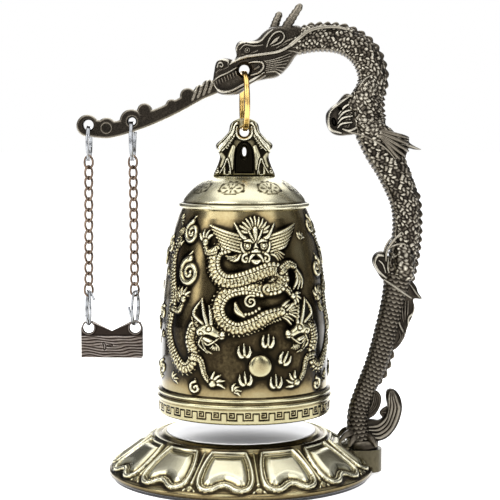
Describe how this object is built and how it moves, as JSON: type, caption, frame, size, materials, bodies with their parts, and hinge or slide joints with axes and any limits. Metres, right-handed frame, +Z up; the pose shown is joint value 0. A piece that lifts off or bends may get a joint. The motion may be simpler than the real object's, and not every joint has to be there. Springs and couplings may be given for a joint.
{
  "type": "temple bell",
  "caption": "Desk temple bell hung from a cast dragon's jaw over a lotus base, with a log-shaped striker on two chains from a staff in the dragon's mouth.",
  "frame": {"origin": "centre of the round base's underside, on the surface that the object stands on", "axes": "+Z up, +X from the base's centre towards the dragon's post, -Y towards the side that shows the bell's front"},
  "size_m": [0.1031, 0.0796, 0.1414],
  "materials": {
    "antique_brass": "antiqued brass plating, bright on the raised relief and near black in the recesses",
    "polished_disc": "polished silver-white",
    "felt": "thin grey felt",
    "dark_bronze": "dark antique bronze plating with pale worn edges",
    "steel": "zinc-plated",
    "gold_wire": "bright gold plating",
    "silver_wire": "bright nickel plating",
    "copper_wire": "dull antique copper plating",
    "pewter": "dark antique bronze plating with a brushed raised wood grain"
  },
  "bodies": {
    "stand": {"lotus_base": "antique_brass", "top_disc": "polished_disc", "felt_pad": "felt", "post_socket": "dark_bronze", "post_screw": "steel", "post_washer": "steel", "dragon_foot_trunk": "dark_bronze", "dragon_torso": "dark_bronze", "dragon_neck": "dark_bronze", "dragon_head": "dark_bronze", "dragon_horns": "dark_bronze", "dragon_foreleg": "dark_bronze", "dragon_elbow_fin": "dark_bronze", "dragon_hind_leg": "dark_bronze", "dragon_hip_fin": "dark_bronze", "dragon_tail": "dark_bronze", "mouth_staff": "dark_bronze"},
    "hanging_ring": {"bell_ring": "gold_wire"},
    "bell": {"bell_crown": "antique_brass", "bell_cap": "antique_brass", "bell_barrel": "antique_brass", "crown_screws": "steel"},
    "top_rings": {"outer_top_ring": "silver_wire", "inner_top_ring": "silver_wire"},
    "outer_chain": {"outer_chain": "copper_wire"},
    "inner_chain": {"inner_chain": "copper_wire"},
    "striker": {"outer_low_ring": "silver_wire", "inner_low_ring": "silver_wire", "striker_plate": "pewter"}
  },
  "joints": [
    {"name": "bell_rock", "type": "hinge", "parent": "stand", "child": "hanging_ring", "pos_m": [0.001, 0, 0.1208], "axis": [1, 0, 0], "range_deg": [-8, 8]},
    {"name": "bell_sway", "type": "hinge", "parent": "hanging_ring", "child": "bell", "pos_m": [0.001, 0, 0.10355], "axis": [0, -1, 0], "range_deg": [0, 2.5]},
    {"name": "striker_rock", "type": "hinge", "parent": "stand", "child": "top_rings", "pos_m": [-0.0388, 0, 0.10535], "axis": [1, 0, 0], "range_deg": [-10, 10]},
    {"name": "striker_swing", "type": "hinge", "parent": "top_rings", "child": "outer_chain", "pos_m": [-0.0453, 0, 0.0946], "axis": [0, 1, 0], "range_deg": [-6.5, 25]},
    {"name": "inner_chain_swing", "type": "hinge", "parent": "top_rings", "child": "inner_chain", "pos_m": [-0.0323, 0, 0.0946], "axis": [0, 1, 0], "range_deg": [-6.5, 25]},
    {"name": "striker_level", "type": "hinge", "parent": "outer_chain", "child": "striker", "pos_m": [-0.0458, 0, 0.0555], "axis": [0, 1, 0], "range_deg": [-25, 6.5]}
  ],
  "couplings": [
    {"joint": "inner_chain_swing", "follows": "striker_swing", "ratio": 1},
    {"joint": "striker_level", "follows": "striker_swing", "ratio": -0.93}
  ]
}
